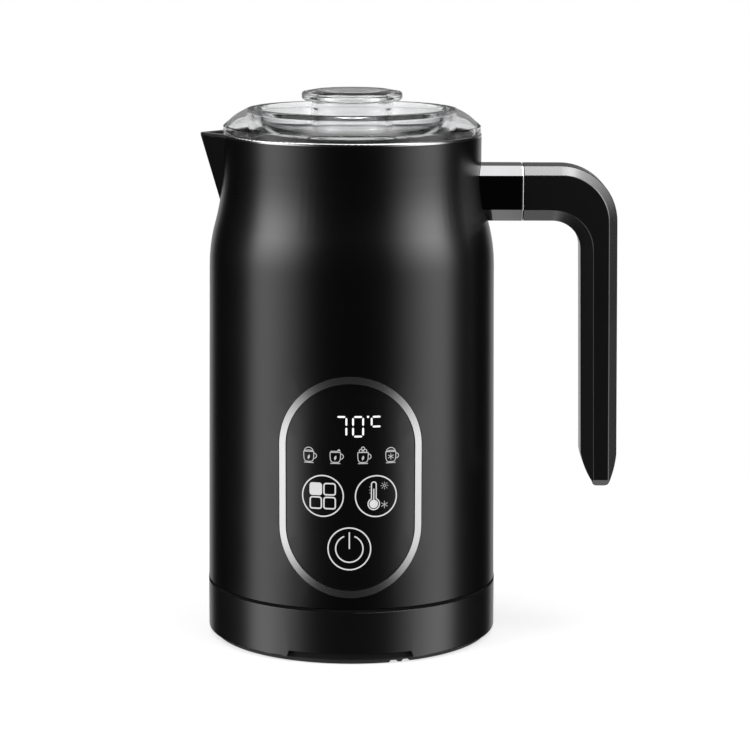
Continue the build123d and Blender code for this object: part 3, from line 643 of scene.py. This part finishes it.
class FROTHER_OT_bead(bpy.types.Operator):
    """Makes the bright bead round the end of the handle's ferrule."""

    bl_idname = "frother.bead"
    bl_label = "Make bead"

    def execute(self, context):
        size = context.scene.frother_trim
        bright = moulded("bright_bead", (0.86, 0.86, 0.87), roughness=0.12, metallic=1.0, depth=0.0)
        make_piece("ferrule_bead", tube(self.path(size), size.bead), bright, "jug")
        return {"FINISHED"}

    def path(self, size):
        """Ferrule's outline near its end, with bevelled corners, from the back round to the back."""
        low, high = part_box("handle_ferrule")
        inset = size.bead
        place, half = high.x - size.bead_place, high.y - inset
        top, foot = high.z - inset, low.z + inset
        upper, lower = size.upper_bevel - inset / 2, size.lower_bevel - inset / 2
        middle = (top + foot) / 2
        corners = np.array([
            (half, middle), (half, top - upper), (half - upper, top), (upper - half, top),
            (-half, top - upper), (-half, foot + lower), (lower - half, foot), (half - lower, foot),
            (half, foot + lower), (half, middle),
        ])
        turn = rounded(corners, [size.bead] * (len(corners) - 2))
        return np.concatenate([np.full((len(turn), 1), place), turn], 1)


class FROTHER_OT_panel(bpy.types.Operator):
    """Makes the touch panel's flat frame and finishes the lens."""

    bl_idname = "frother.panel"
    bl_label = "Make panel"

    def execute(self, context):
        size, tone = context.scene.frother_trim, context.scene.frother_finish
        trim = moulded("silver_trim", tone.trim, roughness=0.25, metallic=1.0, spread=0.03)
        lens = moulded("gloss_black_lens", tone.paint, roughness=0.25, specular=1.0, depth=0.0, spread=0.01)
        dress(trim, "panel_bezel")
        dress(lens, "panel_lens")
        make_piece("bezel_band", self.band(size.bezel), trim, "jug", "panel_bezel")
        return {"FINISHED"}

    def band(self, width, steps=90, last=359.9, sunk=0.05 * MM):
        """Flat band round the lens: two half circles joined by straight sides, as seen from the front.

        A place x seen from the front lies at the distance radius * asin(x / radius) along the wall. The
        lower half circle ends at last degrees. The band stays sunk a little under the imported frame's top.
        """
        low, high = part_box("panel_bezel")
        points = node_points("panel_bezel")
        proud = np.max(np.hypot(points[:, 0], points[:, 1]) - np.polyval(LENS_WALL, points[:, 2]))
        half = high.x - width / 2
        straight = (high.z - low.z - width) / 2 - half
        upper = arc((0, straight), half, 0, 180, steps)
        lower = arc((0, -straight), half, 180, last, steps)
        path = np.concatenate([upper, lower])
        path[:, 1] += (high.z + low.z) / 2 - LENS_MIDDLE
        radius = np.polyval(LENS_WALL, path[:, 1] + LENS_MIDDLE) + proud
        path[:, 0] = radius * np.arcsin(path[:, 0] / radius)
        return stroke(path, width, closed=True, lift=proud - sunk)


class FROTHER_OT_lid(bpy.types.Operator):
    """Makes the clear lid: a cup with ring, dish and skirt, and the dome that stands out round it."""

    bl_idname = "frother.lid"
    bl_label = "Make lid"

    def execute(self, context):
        size, tone = context.scene.frother_lid, context.scene.frother_finish
        cup = clear("clear_cup", tone.lid, tone.lid_bend)
        dome = clear("clear_dome", tone.lid, tone.dome_bend, tone.dome_coat)
        make_piece("lid_cup", lathe(self.cup(size)), cup, "lid", "lid_cover")
        make_piece("lid_dome", lathe(self.dome(size)), dome, "lid")
        return {"FINISHED"}

    def cup(self, size):
        """Line of radius and height, from the dish's middle over the ring, down the skirt and back under."""
        low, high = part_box("lid_cover")
        top, foot = high.z, low.z
        wall, ring, land = size.wall, size.ring, size.ring_land
        floor = top - size.dish_depth
        slope = math.atan2(size.dish_depth, size.dish_slope)
        under = ring - land - size.dish_slope + wall * math.tan(slope / 2)
        under_rise = floor - wall + (ring - wall - under) * math.tan(slope)
        corners = [
            (0, floor), (ring - land - size.dish_slope, floor), (ring - land, top), (ring, top),
            (ring, foot), (ring - wall, foot), (ring - wall, under_rise), (under, floor - wall),
            (0, floor - wall),
        ]
        edge = size.edge
        return rounded(corners, [size.dish_round, edge, edge, edge, edge, edge, size.dish_round + wall])

    def dome(self, size):
        """Closed line of radius and height, from the ring's edge out to the rim and back inside."""
        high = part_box("lid_cover")[1]
        rim, top = high.x, high.z
        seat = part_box("rim_ring")[1].z
        wall, start = size.wall, size.ring + size.gap
        shelf = seat + size.flange
        flank = math.hypot(1, (top - shelf) / (rim - start)) * wall
        outer_middle, inner_middle = (start + rim) / 2, (start + rim - wall) / 2
        outer_rise = (top + shelf) / 2 + size.bulge
        inner_rise = (top + shelf + wall) / 2 - flank + size.bulge
        corners = [
            (start, top - flank / 2), (start, top), (outer_middle, outer_rise), (rim, shelf), (rim, seat),
            (rim - wall, seat), (rim - wall, shelf - flank + wall), (inner_middle, inner_rise),
            (start, top - flank), (start, top - flank / 2),
        ]
        edge, sweep = size.edge, size.bulge_round
        return rounded(corners, [edge, sweep, edge, edge / 2, edge / 2, edge, sweep, edge])


class FROTHER_OT_knob(bpy.types.Operator):
    """Makes the lid's clear, hollow knob."""

    bl_idname = "frother.knob"
    bl_label = "Make knob"

    def execute(self, context):
        tone = context.scene.frother_finish
        glass = clear("clear_knob", tone.lid, tone.knob_bend)
        surface = lathe(self.profile(context.scene.frother_lid))
        make_piece("knob_clear", surface, glass, "lid", "lid_knob")
        return {"FINISHED"}

    def profile(self, size):
        """Line of radius and height, from the top's middle down the outside and up the inside."""
        low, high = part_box("lid_knob")
        reach, top, foot = high.x, high.z, low.z
        neck, wall = size.knob_neck, size.knob_wall
        high_edge = top - size.knob_bevel
        low_edge = high_edge - size.knob_edge
        corners = [
            (0, top), (size.knob_top, top), (reach, high_edge), (reach, low_edge),
            (neck, low_edge - size.knob_under), (neck, foot), (neck - wall, foot),
            (neck - wall, top - wall), (0, top - wall),
        ]
        edge, turn = size.edge, size.knob_round
        return rounded(corners, [turn, turn, turn, edge, edge, edge, edge])


class FROTHER_OT_digits(bpy.types.Operator):
    """Draws the lit temperature on the lens."""

    bl_idname = "frother.digits"
    bl_label = "Draw digits"

    def execute(self, context):
        size, tone = context.scene.frother_signs, context.scene.frother_finish
        block = (size.digit_width, size.digit_height)
        rise, pitch, width = size.digit_rise, size.digit_pitch, size.digit_line
        ones = size.digit_shift
        tens, unit, dot = ones - pitch, ones + 1.11 * pitch, ones + 0.59 * pitch
        dot_rise, dot_radius = rise + (size.digit_height - width) / 2, 0.62 * width
        parts = digit((tens, rise), block, width, "abc")
        parts += digit((ones, rise), block, width, "abcdef")
        parts += digit((unit, rise), block, width, "afg")
        parts.append(spot((dot, dot_rise), dot_radius))
        make_piece("digits", joined(parts), glowing("lit_digits", tone.glow, tone.digit_glow), "jug")
        return {"FINISHED"}


class FROTHER_OT_cups(bpy.types.Operator):
    """Draws the row of four lit cups, one for each programme."""

    bl_idname = "frother.cups"
    bl_label = "Draw cups"

    def execute(self, context):
        size, tone = context.scene.frother_signs, context.scene.frother_finish
        glow = glowing("lit_cups", tone.glow, tone.icon_glow)
        toppings = (self.foam, self.cream, self.bubbles, self.foam)
        marks = (self.drop, self.drop, self.drop, self.flake)
        half, width = size.icon_size / 2, size.fine
        for index, place in enumerate(CUP_PLACES):
            middle = np.array([place, size.icon_rise])
            parts = self.cup(middle, half, width)
            parts += toppings[index](middle, half, width)
            parts += marks[index](middle, half, width)
            make_piece(f"cup_{index + 1}", joined(parts), glow, "jug")
        return {"FINISHED"}

    def cup(self, middle, half, width):
        """Bowl as half a superellipse of power 4, its rim line, saucer and ear."""
        rim, depth = CUP_RIM * half, 1.95 * half
        turn = np.linspace(0, math.pi, num=41)
        side, drop = np.cos(turn), np.maximum(np.sin(turn), 0)
        bowl = np.stack([-half * np.sign(side) * np.sqrt(np.abs(side)), rim - depth * np.sqrt(drop)], 1)
        saucer, saucer_reach = rim - depth - 0.2 * half, 0.95 * half
        ear_size, ear_rise, ear_end = np.array([0.55, 0.5]) * half, -0.45 * half, 85
        return [
            stroke(middle + bowl, width),
            stroke(middle + line((-half, rim), (half, rim)), width),
            stroke(middle + line((-saucer_reach, saucer), (saucer_reach, saucer)), width),
            stroke(middle + arc((half, ear_rise), ear_size, -ear_end, ear_end, steps=24), width),
        ]

    def foam(self, middle, half, width):
        """Round cap of foam over a flatter line."""
        foot = (0, CUP_RIM * half)
        cap_size, band_size, band_start = np.array([0.88, 0.8]) * half, np.array([0.8, 0.25]) * half, 20
        cap = arc(foot, cap_size, 0, 180, steps=40)
        band = arc(foot, band_size, band_start, 180 - band_start, steps=24)
        return [stroke(middle + cap, width), stroke(middle + band, width)]

    def cream(self, middle, half, width):
        """Level foam that rises at the right, by a bell curve exp(-((x - place) / spread)^2)."""
        level, rise, place, spread = 0.55, 0.24, 0.68, 0.2
        thin, thicker = 0.9 * width, 1.3 * width
        along = np.linspace(-0.9, 0.95, num=40)
        peak = np.exp(-((along - place) / spread) ** 2)
        path = np.stack([along, level + rise * peak], 1) * half
        return [stroke(middle + path, thin + thicker * peak)]

    def bubbles(self, middle, half, width):
        """Three piled bubbles."""
        radius = 0.3 * half
        places = np.array([(-0.42, 0.66), (0.42, 0.66), (0, 1.12)]) * half
        return [circle(middle + place, radius, width) for place in places]

    def drop(self, middle, half, width):
        """Leaf-shaped drop: its width follows the sine of the way along it."""
        lean, rise, foot, girth = 0.28, 0.95, -1.2, 0.42
        way = np.linspace(0, 1, num=21)
        path = np.stack([(way - 0.5) * lean, way * rise + foot], 1) * half
        return [stroke(middle + path, np.sin(way * math.pi) * girth * half)]

    def flake(self, middle, half, width):
        """Snowflake in the bowl."""
        place, reach, thin = (0, -0.6 * half), 0.6 * half, 0.8 * width
        return star(middle + place, reach, thin)


class FROTHER_OT_keys(bpy.types.Operator):
    """Draws the three lit touch keys: programme, temperature and power."""

    bl_idname = "frother.keys"
    bl_label = "Draw keys"

    def execute(self, context):
        size, tone = context.scene.frother_signs, context.scene.frother_finish
        glow = glowing("lit_keys", tone.glow, tone.key_glow)
        faint = glowing("lit_marks", tone.glow, tone.mark_glow)
        left = np.array([size.key_shift - size.key_spread, size.key_rise])
        right = np.array([size.key_shift + size.key_spread, size.key_rise])
        lower = np.array([size.key_shift, size.power_rise])
        make_piece("key_programme", joined(self.programme(left, size)), glow, "jug")
        make_piece("key_temperature", joined(self.temperature(right, size)), glow, "jug")
        make_piece("key_power", joined(self.power(lower, size)), glow, "jug")
        make_piece("key_marks", joined(self.marks(right, size)), faint, "jug")
        return {"FINISHED"}

    def programme(self, middle, size):
        """Four rounded squares, the upper left one filled."""
        pitch, side, corner = 5.0 * MM, 4.08 * MM, 1.0 * MM
        width = 1.1 * size.line
        corners = np.array([(-0.5, -0.5), (-0.5, 0.5), (0.5, -0.5), (0.5, 0.5)]) * pitch
        half_side = (side / 2, 0)
        filled = middle + corners[1]
        return [
            circle(middle, size.key_radius, size.line),
            *(rounded_square(middle + place, side, corner, width) for place in corners),
            stroke(line(filled - half_side, filled + half_side), side),
        ]

    def temperature(self, middle, size):
        """Thermometer: an outline round its stem and bulb, and the filled column."""
        stem, bulb, filling = 0.85 * MM, 2.05 * MM, 0.74
        height, column = (0, 7.1 * MM), (0, 5.5 * MM)
        width = 0.85 * size.line
        foot = middle + np.array([-0.85, -2.8]) * MM
        spread = math.degrees(math.asin(stem / bulb))
        round_bulb = arc(foot, bulb, 90 + spread, 450 - spread, steps=60)
        cap = arc(foot + height, stem, 0, 180, steps=24)
        return [
            circle(middle, size.key_radius, size.line),
            stroke(np.concatenate([cap, round_bulb, cap[:1]]), width),
            spot(foot, filling * bulb),
            stroke(line(foot, foot + column), width),
        ]

    def marks(self, middle, size):
        """Faint sun and snowflake at the thermometer's right, and three marks at its left."""
        sun = middle + np.array([3.0, 3.7]) * MM
        snow = middle + np.array([3.0, -3.15]) * MM
        disc, ray_start, ray_end, flake = 0.4 * MM, 0.75 * MM, 1.4 * MM, 1.3 * MM
        mark, mark_pitch, mark_length = np.array([-2.5, 1.2]) * MM, np.array([0, 1.1]) * MM, (0.5 * MM, 0)
        parts = star(snow, flake, 0.9 * size.fine)
        parts += rays(sun, ray_start, ray_end, 0.7 * size.fine)
        parts.append(circle(sun, disc, 0.8 * size.fine))
        for index in range(3):
            start = middle + mark + mark_pitch * index
            parts.append(stroke(line(start, start + mark_length), 0.6 * size.fine))
        return parts

    def power(self, middle, size):
        """Broken ring, open by a gap of degrees each side of the top, with an upright line in the gap."""
        radius, gap, upright = 4.87 * MM, 22.0, (0, 6.05 * MM)
        return [
            circle(middle, 1.03 * size.key_radius, size.line),
            stroke(arc(middle, radius, 90 + gap, 450 - gap), size.line),
            stroke(line(middle, middle + upright), size.line),
        ]


class FROTHER_OT_whisk(bpy.types.Operator):
    """Winds the whisk's round wire spring."""

    bl_idname = "frother.whisk"
    bl_label = "Wind whisk"

    def execute(self, context):
        steel = moulded("spring_steel", grey(0.62), roughness=0.18, metallic=1.0, depth=0.0)
        make_piece("spring", self.spring(), steel, "whisk", "whisk_coil")
        return {"FINISHED"}

    def spring(self, turns=16, opening=math.radians(12), wire=0.45 * MM, coil=2.0 * MM, steps=28):
        """Ring of turns, laid round the axis up to an opening.

        After t turns, radius = ring - coil cos(2 pi t) and height = middle + coil sin(2 pi t).
        """
        low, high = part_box("whisk_coil")
        ring = high.x - wire - coil
        way = np.linspace(0, turns, turns * steps + 1)
        turn = way * (2 * math.pi - opening) / turns
        reach = ring - coil * np.cos(2 * math.pi * way)
        height = (low.z + high.z) / 2 + coil * np.sin(2 * math.pi * way)
        return tube(np.stack([reach * np.cos(turn), reach * np.sin(turn), height], 1), wire)


class FROTHER_OT_insides(bpy.types.Operator):
    """Finishes the pot, the whisk, the drive, the heater and the boards."""

    bl_idname = "frother.insides"
    bl_label = "Finish insides"

    def execute(self, context):
        dress(
            brushed("brushed_steel", grey(0.6), roughness=0.28, stretch=(1, 1, 30)),
            "whisk_pivot", "heater_element",
        )
        dress(moulded("black_nonstick", grey(0.008), roughness=0.35, grain=900.0, depth=0.1), "inner_pot")
        dress(
            moulded("plated_steel", (0.55, 0.56, 0.57), roughness=0.3, metallic=1.0),
            "base_screws", "motor", "motor_screws", "bracket_screws", "handle_bracket", "handle_screw",
            "motor_shaft", "whisk_coil",
        )
        dress(moulded("cast_aluminium", grey(0.6), roughness=0.45, metallic=1.0, depth=0.2), "heater_plate")
        dress(moulded("whisk_plastic", grey(0.03), roughness=0.4), "whisk_hub")
        dress(
            moulded("pale_plastic", (0.78, 0.77, 0.74), roughness=0.45),
            "motor_bracket", "thermal_cutout", "magnet_carrier", "digit_display", "icon_lamps",
        )
        dress(moulded("green_board", (0.03, 0.2, 0.09), roughness=0.4), "control_board", "display_board")
        dress(
            moulded("brass_contact", (0.78, 0.58, 0.26), roughness=0.25, metallic=1.0),
            "base_contacts", "jug_contacts", "touch_pads", "temperature_sensor",
        )
        dress(
            moulded("plated_magnet", (0.3, 0.3, 0.31), roughness=0.25, metallic=1.0),
            "drive_magnets", "whisk_magnets",
        )
        return {"FINISHED"}


# Angles in degrees over which each lamp painted on the world fades in. Aside is measured from the front
# round to the back, and rise from the horizon
SIDE_INNER = (28, 76)
SIDE_OUTER = (94, 79)
SIDE_RISE = (-5, 20)
TOP_RISE = (62, 74)
BELOW_RISE = (-60, -72)
WHITE_ASIDE = (148, 164)
BACK_ASIDE = (146, 158)
BACK_LOW_RISE = (3, -2)
BACK_HIGH_RISE = (40, 30)

BACK_HIGH_SHARE = 0.25
FULL_TOP_DEPTH = 2.5
LATER_TOP_SHARE = 0.2
FLOOR_REACH = 12.0
FLOOR_SIDES = 64
FLOOR_FADE = (0.08, 0.3)
BOUNCES = 32


class FROTHER_OT_stage(bpy.types.Operator):
    """Lays the floor, paints the lamps on the world and sets up the camera."""

    bl_idname = "frother.stage"
    bl_label = "Set stage"

    def execute(self, context):
        stage = context.scene.frother_stage
        self.lay_floor(context.scene, stage)
        self.light_world(context.scene, stage)
        self.place_camera(context.scene, stage)
        return {"FINISHED"}

    def lay_floor(self, scene, stage):
        """White round floor, which takes a faint shadow near the frother only."""
        turn = np.linspace(0, 2 * math.pi, FLOOR_SIDES, endpoint=False)
        ring = np.stack([FLOOR_REACH * np.cos(turn), FLOOR_REACH * np.sin(turn), 0 * turn], 1)
        mesh = bpy.data.meshes.new("floor")
        mesh.from_pydata(ring.tolist(), [], [list(range(FLOOR_SIDES))])
        floor = bpy.data.objects.new("floor", mesh)
        scene.collection.objects.link(floor)
        floor.visible_glossy = False
        floor.visible_shadow = False
        material, graph = new_material("pale_floor")
        seen = graph.node("ShaderNodeLightPath", output="Is Camera Ray")
        through = graph.node("ShaderNodeLightPath", output="Is Transmission Ray")
        matt = graph.node("ShaderNodeBsdfDiffuse", inputs={"Color": opaque(grey(stage.floor_grey))})
        glow = graph.node("ShaderNodeEmission", inputs={"Strength": (seen + through) * stage.floor_glow})
        near = graph.node("ShaderNodeAddShader", inputs={0: matt, 1: glow})
        white = graph.node("ShaderNodeEmission", inputs={"Strength": seen + through})
        place = graph.node("ShaderNodeTexCoord", output="Object")
        far = graph.node("ShaderNodeVectorMath", {"operation": "LENGTH"}, {0: place}, "Value")
        start, end = FLOOR_FADE
        fade = graph.node("ShaderNodeMapRange", inputs={"Value": far, "From Min": start, "From Max": end})
        surface = graph.node("ShaderNodeMixShader", inputs={0: fade, 1: near, 2: white})
        graph.node("ShaderNodeOutputMaterial", inputs={"Surface": surface})
        mesh.materials.append(material)

    def light_world(self, scene, stage):
        """Soft boxes painted on the world: two at the sides, brighter above, one overhead and glows behind.

        The lamp overhead is dimmer in later reflections. The camera sees white, and so does a ray that
        looks through clear plastic to the back.
        """
        world = bpy.data.worlds.new("studio")
        world.use_nodes = True
        scene.world = world
        graph = Graph(world.node_tree)
        place = graph.node("ShaderNodeTexCoord", output="Generated")
        x, y, z = (graph.node("ShaderNodeSeparateXYZ", inputs={0: place}, output=axis) for axis in "XYZ")
        turn = graph.node("ShaderNodeMath", {"operation": "ARCTAN2"}, {0: x, 1: y * -1.0})
        aside = graph.node("ShaderNodeMath", {"operation": "ABSOLUTE"}, {0: turn})
        rise = graph.node("ShaderNodeMath", {"operation": "ARCSINE"}, {0: z})
        upper = step(graph, rise, *SIDE_RISE) * (stage.upper_share - 1.0) + 1.0
        sides = step(graph, aside, *SIDE_INNER) * step(graph, aside, *SIDE_OUTER) * stage.side_light * upper
        depth = graph.node("ShaderNodeLightPath", output="Ray Depth")
        first = graph.node("ShaderNodeMath", {"operation": "LESS_THAN"}, {0: depth, 1: FULL_TOP_DEPTH})
        dimmed = first * (1.0 - LATER_TOP_SHARE) + LATER_TOP_SHARE
        top = step(graph, rise, *TOP_RISE) * dimmed * stage.top_light
        below = step(graph, rise, *BELOW_RISE) * stage.low_light
        low_back = step(graph, rise, *BACK_LOW_RISE) * (1.0 - BACK_HIGH_SHARE)
        high_back = step(graph, rise, *BACK_HIGH_RISE) * BACK_HIGH_SHARE
        back = step(graph, aside, *BACK_ASIDE) * (low_back + high_back) * stage.back_light
        lamps = sides + top + below + back + stage.room_light
        seen = graph.node("ShaderNodeLightPath", output="Is Camera Ray")
        through = graph.node("ShaderNodeLightPath", output="Is Transmission Ray")
        white = seen + through * step(graph, aside, *WHITE_ASIDE)
        strength = graph.node("ShaderNodeMix", inputs={0: white, 2: lamps, 3: 1.0})
        glow = graph.node("ShaderNodeBackground", inputs={"Strength": strength})
        graph.node("ShaderNodeOutputWorld", inputs={"Surface": glow})

    def place_camera(self, scene, stage):
        """Camera at its place, tilted and rolled, with enough bounces for clear plastic."""
        eye = bpy.data.cameras.new("camera")
        eye.lens = stage.camera_lens
        eye.sensor_width = stage.camera_sensor
        camera = bpy.data.objects.new("camera", eye)
        scene.collection.objects.link(camera)
        tilt = Matrix.Rotation(math.pi / 2 - stage.camera_pitch, 4, "X")
        roll = Matrix.Rotation(stage.camera_roll, 4, "Z")
        camera.matrix_world = Matrix.Translation(stage.camera_place) @ tilt @ roll
        scene.camera = camera
        scene.view_settings.view_transform = "Standard"
        scene.cycles.max_bounces = BOUNCES
        scene.cycles.glossy_bounces = BOUNCES
        scene.cycles.transmission_bounces = BOUNCES


OPERATORS = (
    FROTHER_OT_casing,
    FROTHER_OT_seam,
    FROTHER_OT_bead,
    FROTHER_OT_panel,
    FROTHER_OT_digits,
    FROTHER_OT_cups,
    FROTHER_OT_keys,
    FROTHER_OT_lid,
    FROTHER_OT_knob,
    FROTHER_OT_whisk,
    FROTHER_OT_insides,
    FROTHER_OT_stage,
)


class FROTHER_PT_sidebar(bpy.types.Panel):
    """Lists the steps that build the frother's looks."""

    bl_label = "Milk frother"
    bl_idname = "FROTHER_PT_sidebar"
    bl_space_type = "VIEW_3D"
    bl_region_type = "UI"
    bl_category = "Frother"

    def draw(self, context):
        for operator in OPERATORS:
            self.layout.operator(operator.bl_idname)


CLASSES = (*SETTINGS.values(), *OPERATORS, FROTHER_PT_sidebar)


def register():
    for entry in CLASSES:
        bpy.utils.register_class(entry)
    for name, group in SETTINGS.items():
        setattr(bpy.types.Scene, name, PointerProperty(type=group))


def unregister():
    for name in SETTINGS:
        delattr(bpy.types.Scene, name)
    for entry in reversed(CLASSES):
        bpy.utils.unregister_class(entry)


def main():
    register()
    bpy.ops.frother.casing()
    bpy.ops.frother.seam()
    bpy.ops.frother.bead()
    bpy.ops.frother.panel()
    bpy.ops.frother.digits()
    bpy.ops.frother.cups()
    bpy.ops.frother.keys()
    bpy.ops.frother.lid()
    bpy.ops.frother.knob()
    bpy.ops.frother.whisk()
    bpy.ops.frother.insides()
    bpy.ops.frother.stage()


if __name__ == "__main__":
    main()
